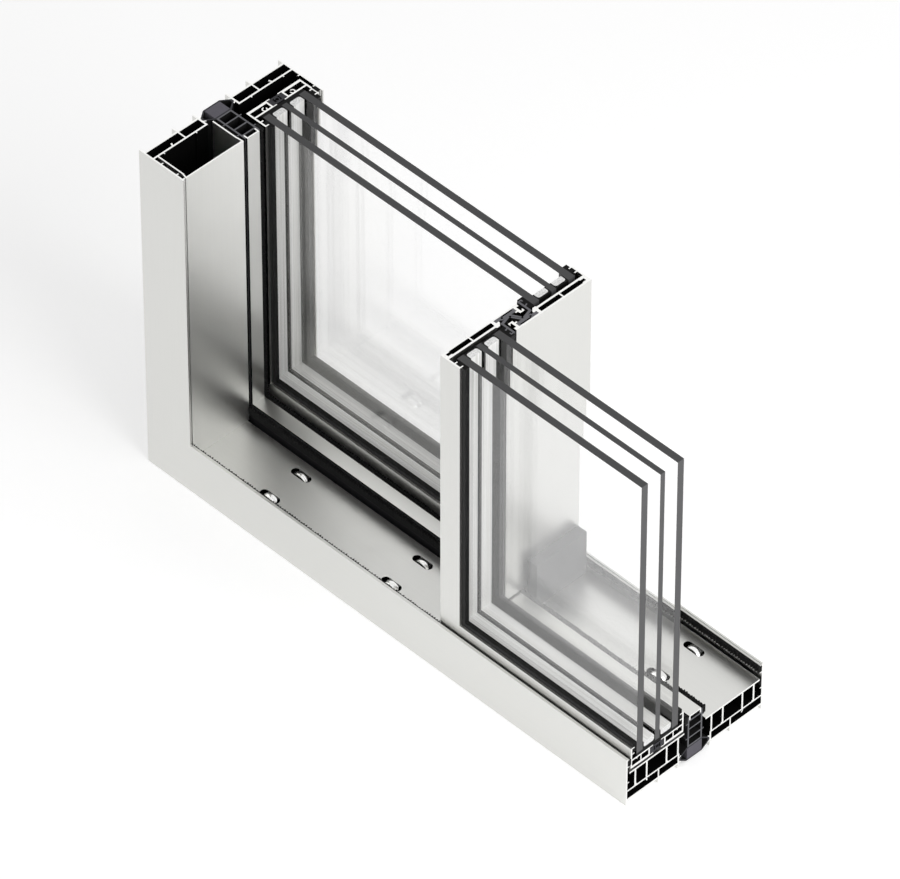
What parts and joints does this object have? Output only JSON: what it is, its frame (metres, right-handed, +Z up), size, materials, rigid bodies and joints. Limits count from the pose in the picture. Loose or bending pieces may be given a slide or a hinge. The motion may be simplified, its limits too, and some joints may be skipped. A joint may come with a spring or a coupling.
{
  "type": "sliding window corner section",
  "caption": "Cutaway corner of a triple-glazed sliding window: mitred sill and jamb with thermal break, roller tracks, interlock, and two framed glass leaves.",
  "frame": {"origin": "middle of the footprint, on the floor under the sill", "axes": "+X along the sill from the jamb to the sawn end, +Y from the front face to the back face, +Z up"},
  "size_m": [0.642, 0.18, 0.4],
  "materials": {
    "aluminium": "satin anodised extrusion",
    "tread": "bright satin anodised tread",
    "polyamide": "glass-filled polyamide, matt",
    "foam": "rigid insulating foam",
    "brush": "pile weather strip",
    "rubber": "black glazing gasket",
    "sealant": "black edge sealant",
    "glass": "clear float glass",
    "spacer": "light grey spacer bar",
    "roller": "polished steel roller",
    "pin": "steel",
    "block": "grey moulded plastic"
  },
  "bodies": {
    "root": {"sill_front_base": "aluminium", "sill_rear_base": "aluminium", "jamb_front_base": "aluminium", "jamb_rear_base": "aluminium", "sill_thermal_break": "polyamide", "jamb_thermal_break": "polyamide", "sill_foam_core": "foam", "jamb_foam_core": "foam", "sill_spine": "polyamide", "jamb_spine": "polyamide", "sill_spine_cap": "aluminium", "jamb_spine_cap": "aluminium", "sill_seals": "brush", "jamb_seals": "brush", "front_track": "tread", "rear_track": "tread", "front_track_webs": "tread", "rear_track_webs": "tread", "front_rollers": "roller", "rear_rollers": "roller", "front_roller_pins": "pin", "rear_roller_pins": "pin", "jamb_cover": "aluminium", "stop_block": "block", "front_leaf_stile": "aluminium", "front_leaf_stile_break": "polyamide", "front_leaf_stile_hook": "aluminium", "front_leaf_rail_shells": "aluminium", "front_leaf_rail_bridge": "polyamide", "front_leaf_panes": "glass", "front_leaf_spacers": "spacer", "front_leaf_edge_seals": "sealant", "front_leaf_gaskets": "rubber", "front_leaf_glazing_bed": "rubber", "front_leaf_running_strips": "pin", "rear_leaf_stile": "aluminium", "rear_leaf_stile_break": "polyamide", "rear_leaf_stile_hook": "aluminium", "rear_leaf_rail_shells": "aluminium", "rear_leaf_rail_bridge": "polyamide", "rear_leaf_panes": "glass", "rear_leaf_spacers": "spacer", "rear_leaf_edge_seals": "sealant", "rear_leaf_gaskets": "rubber", "rear_leaf_glazing_bed": "rubber", "rear_leaf_running_strips": "pin", "rear_leaf_side_shells": "aluminium", "rear_leaf_side_bridge": "polyamide"}
  },
  "joints": []
}
